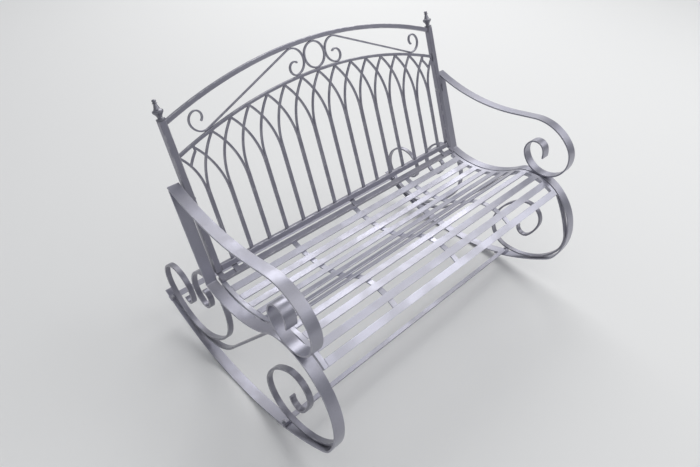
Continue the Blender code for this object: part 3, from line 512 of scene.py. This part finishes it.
# Where a path is cut short, its stations this near to the cut are left out
stationGap = 0.002
facePath = bendPath(seat["face"], seat["faceBends"])
faceLengths = lengthsOf(facePath)
railLengths = np.append(faceLengths[faceLengths < seat["railRun"] - stationGap], seat["railRun"])
railPath = sampled(facePath, railLengths)
railPath = shifted(railPath, seat["slatThickness"] - seat["railDepth"] / 2.0)
railSection = barSection(seat["railWidth"], seat["railDepth"], seat["railCorner"])
sideTabSection = barSection(seat["tabWidth"], seat["tabThickness"], seat["tabCorner"])
for side, sign in sides:
    railParts = [sweptBar(railPath, railSection, sidePlane, sign * seat["railX"])]
    for (ya, za), (yb, zb) in seat["tabs"]:
        tabPath = np.array([(ya + (yb - ya) * share, za + (zb - za) * share, math.atan2(zb - za, yb - ya))
                            for share in (0.0, 0.5, 1.0)])
        railParts.append(sweptBar(tabPath, sideTabSection, sidePlane, sign * seat["tabX"]))
    makePiece(side + "SeatRail", railParts, paints["seat"], (side + "_seat_rail",))
crossSection = barSection(seat["crossStrapWidth"], seat["slatThickness"], seat["slatCorner"])
crossPath = shifted(facePath, -seat["slatThickness"] / 2.0)
for number, place in enumerate((-1.0, 0.0, 1.0), 1):
    strap = sweptBar(crossPath, crossSection, sidePlane, place * seat["crossStrapX"])
    makePiece("seatCrossStrap%d" % number, [strap], paints["seat"],
              ("seat_cross_strap_%d" % number,))
for number, (y, z, heading) in enumerate(seat["slats"], 1):
    run = seat["slatWidth"] * np.array((math.cos(math.radians(heading)), math.sin(math.radians(heading))))
    bar = acrossBar([(y, z), (y + run[0], z + run[1])], seat["slatThickness"], seat["slatHalf"],
                    seat["slatCorner"])
    makePiece("seatSlat%02d" % number, [bar], paints["seat"], ("seat_slat_%02d" % number,))

# The seat's rear rail carries tabs that reach under the back
tabs = {"x": [-0.5955, -0.53753, 0.0, 0.53753, 0.5955], "start": (0.08552, 0.44978),
        "end": (0.11745, 0.46096), "width": 0.020, "thickness": 0.003, "corner": 0.0007, "bolt": 0.025}
tabReach = np.array(tabs["end"]) - tabs["start"]
tabHeading = math.atan2(tabReach[1], tabReach[0])
tabRun = bendPath((*tabs["start"], math.degrees(tabHeading)), [(math.hypot(*tabReach), 0.0)])
tabSection = barSection(tabs["width"], tabs["thickness"], tabs["corner"])
railParts = [acrossBar(seat["rearRail"], seat["rearRailDepth"], seat["rearRailHalf"], seat["railCorner"])]
railParts += [sweptBar(tabRun, tabSection, sidePlane, x) for x in tabs["x"]]
makePiece("seatRearRail", railParts, paints["back"], ("seat_rear_rail",))
print("seat laid")

# Back: two uprights, a bottom rail, two arches
back = {
    "uprightX": 0.5955, "uprightWidth": 0.0225, "uprightDepth": 0.022, "uprightCorner": 0.0026,
    "uprightLow": -0.020, "uprightHigh": 0.485, "railHeight": 0.020, "railDepth": 0.020,
    "inner": 0.58425, "archRise": 0.103, "topFoot": 0.4765, "topBar": 0.015, "topDepth": 0.015,
    "lowerFoot": 0.3705, "lowerBar": 0.0105, "lowerDepth": 0.012, "archCorner": 0.0019, "archChord": 0.02,
    "ringRise": 0.525375, "ringRadius": 0.0465, "ringBar": 0.006, "ringDepth": 0.009, "ringCorner": 0.0012,
    "ringStations": 72,
}
uprightSection = barSection(back["uprightDepth"], back["uprightWidth"], back["uprightCorner"])
for side, sign in sides:
    post = np.array([(sign * back["uprightX"], rise, math.pi / 2.0)
                     for rise in np.linspace(back["uprightLow"], back["uprightHigh"], 8)])
    bar = sweptBar(post, uprightSection, backPlane)
    makePiece(side + "Upright", [bar], paints["back"], (side + "_upright",))
foot = np.array([(x, -back["railHeight"] / 2.0, 0.0) for x in np.linspace(-1.0, 1.0, 9) * back["inner"]])
bar = sweptBar(foot, barSection(back["railDepth"], back["railHeight"], back["uprightCorner"]), backPlane)
makePiece("bottomRail", [bar], paints["back"], ("bottom_rail",))

archRadius = (back["inner"] ** 2 + back["archRise"] ** 2) / 2.0 / back["archRise"]
archSweep = math.degrees(math.asin(back["inner"] / archRadius))


def archHeight(footRise, x):
    # Height of an arch's centre line at x: its crown less the circle's fall from there
    return footRise + back["archRise"] - archRadius + np.sqrt(archRadius ** 2 - np.square(x))


for label in ("top", "lower"):
    footRise, height, depth = back[label + "Foot"], back[label + "Bar"], back[label + "Depth"]
    path = bendPath((-back["inner"], footRise, archSweep), [(archRadius, -2.0 * archSweep)],
                    back["archChord"])
    bar = sweptBar(path, barSection(depth, height, back["archCorner"]), backPlane)
    makePiece(label + "Arch", [bar], paints["back"], (label + "_arch",))

angles = np.linspace(0.0, 2.0 * math.pi, back["ringStations"], endpoint=False)
ringLine = back["ringRadius"] - back["ringBar"] / 2.0
ringPath = np.stack([ringLine * np.cos(angles), back["ringRise"] + ringLine * np.sin(angles),
                     angles + math.pi / 2.0], 1)
ringSection = barSection(back["ringDepth"], back["ringBar"], back["ringCorner"])
bar = sweptBar(ringPath, ringSection, backPlane, closed=True)
makePiece("centreRing", [bar], paints["back"], ("centre_ring",))

# Scroll bars between the arches: a curl inside a loop beside the ring, then a run to the far scroll
backScroll = {"start": (0.079518, 0.516464, 56.893), "bar": 0.0055, "depth": 0.009, "corner": 0.0012,
              "chord": 0.003,
              "bends": [(0.015, -60.0), (0.022, -180.0), (0.043493, -90.0), (0.043493, -90.0),
                        (0.043493, -19.1375), (0.381861, 0.0), (0.040, 88.0), (0.030, 100.0),
                        (0.019, 160.0)]}
for side, sign in sides:
    path = bendPath(backScroll["start"], backScroll["bends"], backScroll["chord"])
    if sign < 0.0:
        path = np.stack([-path[:, 0], path[:, 1], math.pi - path[:, 2]], 1)
    bar = sweptBar(path, barSection(backScroll["depth"], backScroll["bar"], backScroll["corner"]), backPlane)
    makePiece(side + "BackScroll", [bar], paints["back"], (side + "_back_scroll_bar",))

# Spindles: pairs of rods side by side, each bending away past its neighbour's rod up to the arch
spindles = {"count": 15, "pitch": 0.076, "rodWidth": 0.0072, "rodDepth": 0.008, "shallower": 0.0003,
            "stubShallower": 0.0002, "corner": 0.0013, "bendDrop": 0.180, "footSink": 0.002,
            "archSink": 0.004, "stubSink": 0.002, "pairLap": 0.001, "chord": 0.006}
feet = (np.arange(spindles["count"]) - (spindles["count"] - 1) / 2.0) * spindles["pitch"]


def rodPath(footX, sign):
    # Straight up, then one arc to the apex over the next spindle: half the sweep is the angle whose
    # tangent is the arc's way out over its rise, and the radius is the rise over the sweep's sine
    outer = abs(footX + sign * spindles["pitch"]) > feet[-1] + spindles["pairLap"]
    width = back["inner"] - feet[-1] if outer else spindles["pitch"]
    apex = footX + sign * width
    start = footX + sign * (spindles["rodWidth"] - spindles["pairLap"]) / 2.0
    drop = spindles["bendDrop"] * width / spindles["pitch"]
    sweep = 2.0 * math.atan2(abs(apex - start), drop)
    radius = drop / math.sin(sweep)
    rise = archHeight(back["lowerFoot"], apex) - back["lowerBar"] / 2.0 - drop
    path = bendPath((start, -spindles["footSink"], 90.0),
                    [(rise + spindles["footSink"], 0.0), (radius, -sign * math.degrees(sweep)),
                     (spindles["archSink"], 0.0)], spindles["chord"])
    return path, footX + sign * width / 2.0


# Where two rods cross, one is a little shallower, so that their faces don't lie in one plane
rodSections = [barSection(spindles["rodDepth"] - less, spindles["rodWidth"], spindles["corner"])
               for less in (0.0, spindles["shallower"])]
for number, footX in enumerate(feet, 1):
    rods = [sweptBar(rodPath(footX, sign)[0], section, backPlane)
            for sign, section in zip((-1.0, 1.0), rodSections)]
    makePiece("spindle%02d" % number, rods, paints["back"], ("spindle_%02d" % number,))
stubSection = barSection(spindles["rodDepth"] - spindles["stubShallower"], spindles["rodWidth"],
                         spindles["corner"])
for side, sign in sides:
    # The stub mirrors the outermost rod from their crossing up and then runs straight up to the arch
    outerRod, middle = rodPath(sign * feet[-1], sign)
    lengths = lengthsOf(outerRod)
    crossing = np.interp(abs(middle), np.abs(outerRod[:, 0]), lengths)
    upper = sampled(outerRod, np.append(crossing, lengths[lengths > crossing + stationGap]))
    mirrored = np.stack([2.0 * middle - upper[:, 0], upper[:, 1], math.pi - upper[:, 2]], 1)
    reach = archHeight(back["lowerFoot"], mirrored[-1, 0]) - back["lowerBar"] / 2.0 - mirrored[-1, 1]
    top = mirrored[-1] + (0.0, reach + spindles["stubSink"], math.pi / 2.0 - mirrored[-1, 2])
    mirrored = np.concatenate([mirrored, [top]])
    makePiece(side + "SpindleStub", [sweptBar(mirrored, stubSection, backPlane)], paints["back"],
              (side + "_spindle_stub",))
print("back filled")

# Finials: turned profiles in shares of the radius and height, smoothed between the given places
finials = {"x": 0.5955, "base": 0.4853, "radius": 0.0165, "height": 0.062, "pole": 0.0004,
           "shares": [(0.0, 0.0), (0.80, 0.0), (0.84, 0.02), (0.84, 0.08), (0.79, 0.10), (0.50, 0.115),
                      (0.47, 0.17), (0.62, 0.26), (0.90, 0.355), (1.0, 0.41), (1.0, 0.45), (0.93, 0.49),
                      (0.66, 0.53), (0.52, 0.60), (0.41, 0.70), (0.33, 0.775), (0.34, 0.795), (0.46, 0.81),
                      (0.46, 0.835), (0.33, 0.85), (0.31, 0.87), (0.385, 0.905), (0.385, 0.945),
                      (0.27, 0.985), (0.0, 1.0)]}


def smoothed(points, steps=5):
    # A curve through the points, its tangent at each half the way from the point before to the one after.
    # Each stretch is the usual cubic blend of its two ends and their two tangents.
    points = np.array(points)
    padded = np.concatenate([points[:1], points, points[-1:]])
    tangent = (padded[2:] - padded[:-2]) / 2.0
    t = np.linspace(0.0, 1.0, steps, endpoint=False)[None, :, None]
    one, two = points[:-1, None], points[1:, None]
    curve = ((2 * t ** 3 - 3 * t ** 2 + 1) * one + (t ** 3 - 2 * t ** 2 + t) * tangent[:-1, None]
             + (3 * t ** 2 - 2 * t ** 3) * two + (t ** 3 - t ** 2) * tangent[1:, None])
    return np.concatenate([curve.reshape(-1, 2), points[-1:]])


profile = smoothed(finials["shares"]) * (finials["radius"], finials["height"])
profile[:, 0] = np.maximum(profile[:, 0], finials["pole"])
for side, sign in sides:
    base = inSpace(backPlane, np.array([sign * finials["x"], finials["base"], 0.0]))
    makePiece(side + "Finial", [turned(base, backPlane[2], profile)], paints["finials"],
              (side + "_finial",))
print("finials turned")

# Welds: where a scroll bar runs along a strap, and where the back's, the seat's and the arms' bars meet
welds = {
    "sideRadius": 0.0021, "sideLength": 0.018, "touch": 0.0078, "armRadius": 0.0017, "armRipples": 5.0,
    "armX": (0.613, 0.648), "armFace": 0.0032, "slatRadius": 0.0013, "slatEnd": (0.004, 0.021),
    "slatEdge": (0.006, 0.019), "footRadius": 0.0011, "footRise": 0.0004, "footReach": 0.006,
    "archRadius": 0.0015, "archInset": 0.0002, "archShare": 0.44, "ringX": 0.007, "ringInset": 0.0004,
    "ringDepth": 0.0036,
}


def beadEnds(x, start, end):
    # Both ends of beads at one x, from rows of the other two coordinates
    column = np.full(len(start), x)
    return np.stack([np.column_stack([column, start]), np.column_stack([column, end])], 1)


def touchingSpots(path, target, sign):
    # The middle of each run of a scroll bar that lies against another bar, as one bead along each edge
    gaps = path[:, None, :2] - target[None, :, :2]
    distance = np.linalg.norm(gaps, axis=2)
    nearest = distance.argmin(1)
    near = distance.min(1) < welds["touch"]
    edges = np.flatnonzero(np.diff(np.concatenate([[0], near.astype(int), [0]])))
    middles = (edges[::2] + edges[1::2] - 1) // 2
    station = path[middles]
    towards = target[nearest[middles], :2] - station[:, :2]
    towards /= np.linalg.norm(towards, axis=1, keepdims=True)
    ahead = np.stack([np.cos(station[:, 2]), np.sin(station[:, 2])], 1) * welds["sideLength"] / 2.0
    place = station[:, :2] + towards * (sideFrame["scrollThickness"] / 2.0)
    middleX, halfWidth = sign * sideFrame["scrollX"], sideFrame["scrollWidth"] / 2.0
    return np.concatenate([beadEnds(middleX + edge * halfWidth, place - ahead, place + ahead)
                           for edge in (-1.0, 1.0)])


sideSpots = np.concatenate([touchingSpots(path, target, sign) for _, sign in sides
                            for path in (scrollPath, bowPath) for target in (strapPath, rockerPath)])
postEnd = strapPath[-1]
postLeft = np.array((-math.sin(postEnd[2]), math.cos(postEnd[2])))
armSpots = [[(sign * x, *(postEnd[:2] + postLeft * face)) for x in welds["armX"]]
            for _, sign in sides for face in (-welds["armFace"], welds["armFace"])]
makePiece("sideWelds", weldBeads(sideSpots, welds["sideRadius"]), paints["welds"])
makePiece("armWelds", weldBeads(armSpots, welds["armRadius"], welds["armRipples"]), paints["welds"])

slats = np.array(seat["slats"])
slatAhead = np.stack([np.cos(np.radians(slats[:, 2])), np.sin(np.radians(slats[:, 2]))], 1)
slatDown = np.stack([slatAhead[:, 1], -slatAhead[:, 0]], 1)
slatUnder = slats[:, :2] + slatDown * seat["slatThickness"] / 2.0
seatSpots = [beadEnds(x, *(slatUnder + slatAhead * reach for reach in welds["slatEnd"]))
             for x in (-seat["slatHalf"], seat["slatHalf"])]
seatSpots += [beadEnds(middle * seat["crossStrapX"] + edge * seat["crossStrapWidth"],
                       *(slatUnder + slatAhead * reach for reach in welds["slatEdge"]))
              for middle in (-1.0, 0.0, 1.0) for edge in (-0.5, 0.5)]
makePiece("seatWelds", weldBeads(np.concatenate(seatSpots), welds["slatRadius"]), paints["welds"])

footSpots = np.array([[(foot + end * welds["footReach"], welds["footRise"], face * spindles["rodDepth"])
                       for end in (-1.0, 1.0)] for face in (-0.5, 0.5) for foot in feet])
makePiece("spindleWelds", weldBeads(inSpace(backPlane, footSpots), welds["footRadius"]),
          paints["welds"])
archEnd = back["inner"] - welds["archInset"]
backSpots = [[(sign * archEnd, back[label + "Foot"] + face * back[label + "Bar"],
               share * back[label + "Depth"] * welds["archShare"]) for share in (-1.0, 1.0)]
             for _, sign in sides for label in ("top", "lower") for face in (-0.5, 0.5)]
backSpots += [[(x, back["ringRise"] + place * (back["ringRadius"] - welds["ringInset"]), depth)
               for depth in (-welds["ringDepth"], welds["ringDepth"])]
              for place in (-1.0, 1.0) for x in (-welds["ringX"], welds["ringX"])]
makePiece("backWelds", weldBeads(inSpace(backPlane, np.array(backSpots)), welds["archRadius"]),
          paints["welds"])

# Fasteners: nuts over the cross bars and heads below the runners, heads on the uprights and under the
# tabs. Each length below a cross bar's middle is to the runner's underside.
fasteners = {
    "washer": {"radius": 0.0078, "height": 0.0011, "sides": 20},
    "nut": {"radius": 0.0064, "height": 0.0046, "sides": 6},
    "shank": {"radius": 0.0030, "height": 0.0022, "sides": 16},
    "dome": {"radius": 0.0062, "height": 0.0034, "sides": 28, "steps": 8},
    "mostCorner": 0.0006, "cornerShare": 0.3, "sink": 0.0001, "bevelShare": 0.7, "bevel": 0.0003,
    "pole": 0.0004, "poleRise": 1.01, "x": 0.6430, "frontBelow": 0.0151, "rearBelow": 0.0088,
}
boltSet = []
for _, sign in sides:
    for label in ("front", "rear"):
        (ya, za), (yb, zb) = crossBars[label]
        ahead = np.array((0.0, yb - ya, zb - za)) / math.hypot(yb - ya, zb - za)
        up = np.array((0.0, -ahead[2], ahead[1]))
        middle = np.array((sign * fasteners["x"], (ya + yb) / 2.0, (za + zb) / 2.0))
        boltSet += boltParts(middle + up * crossBars["thickness"] / 2.0, up, fasteners)
        boltSet += domeParts(middle - up * fasteners[label + "Below"], -up, fasteners)
    face = inSpace(backPlane, np.array([sign * back["inner"], sideFrame["lugRise"], 0.0]))
    boltSet += domeParts(face, (-sign, 0.0, 0.0), fasteners)
tabAhead = np.array((0.0, math.cos(tabHeading), math.sin(tabHeading)))
tabDown = np.array((0.0, tabAhead[2], -tabAhead[1]))
for x in tabs["x"]:
    spot = np.array((x, *tabs["start"])) + tabAhead * tabs["bolt"] + tabDown * tabs["thickness"] / 2.0
    boltSet += domeParts(spot, tabDown, fasteners)
makePiece("fasteners", boltSet, paints["fasteners"])
print("welds and fasteners added")

# Studio: a pale floor, soft lamps and the camera where the photograph was taken from
studio = {"floor": (0.80, 0.80, 0.79), "floorRough": 0.9, "floorHalf": 30.0, "sky": (0.93, 0.95, 1.0),
          "world": 0.40, "aim": (0.0, 0.0, 0.4)}
lamps = {"skyBehind": {"place": (4.2, 4.6, 5.6), "size": 6.0, "power": 310.0},
         "skyFront": {"place": (3.6, -2.8, 4.8), "size": 5.0, "power": 125.0},
         "skyAbove": {"place": (-1.5, -1.5, 5.0), "size": 4.0, "power": 32.0}}
floorCorners = np.array([(-1, -1, 0), (1, -1, 0), (1, 1, 0), (-1, 1, 0)]) * studio["floorHalf"]
floorMesh = bpy.data.meshes.new("studioFloor")
floorMesh.from_pydata(floorCorners.tolist(), [], [(0, 1, 2, 3)])
floor = bpy.data.objects.new("studioFloor", floorMesh)
bpy.context.scene.collection.objects.link(floor)
floorPaint = bpy.data.materials.new("paleFloor")
floorPaint.use_nodes = True
floorShader = floorPaint.node_tree.nodes["Principled BSDF"]
floorShader.inputs["Base Color"].default_value = studio["floor"] + (1.0,)
floorShader.inputs["Roughness"].default_value = studio["floorRough"]
floorMesh.materials.append(floorPaint)

world = bpy.data.worlds.new("softSky")
bpy.context.scene.world = world
world.use_nodes = True
sky = world.node_tree.nodes["Background"]
sky.inputs["Color"].default_value = studio["sky"] + (1.0,)
sky.inputs["Strength"].default_value = studio["world"]

for name, look in lamps.items():
    lamp = bpy.data.lights.new(name, "AREA")
    lamp.shape, lamp.size, lamp.energy = "DISK", look["size"], look["power"]
    made = bpy.data.objects.new(name, lamp)
    bpy.context.scene.collection.objects.link(made)
    made.location = look["place"]
    made.rotation_euler = (Vector(studio["aim"]) - made.location).to_track_quat("-Z", "Y").to_euler()

shot = {"place": (-1.1949, -1.1213, 1.6678), "right": (0.72247, -0.69136, 0.00285),
        "up": (0.43011, 0.45270, 0.78107), "forward": (0.54125, 0.56301, -0.62448), "lens": 28.129}
camera = bpy.data.objects.new("photoCamera", bpy.data.cameras.new("photoCamera"))
bpy.context.scene.collection.objects.link(camera)
axes = Matrix((shot["right"], shot["up"], tuple(-value for value in shot["forward"]))).transposed()
camera.matrix_world = Matrix.Translation(shot["place"]) @ axes.to_4x4()
camera.data.lens = shot["lens"]
bpy.context.scene.camera = camera
bpy.context.scene.view_settings.view_transform = "Standard"
print("studio lit")
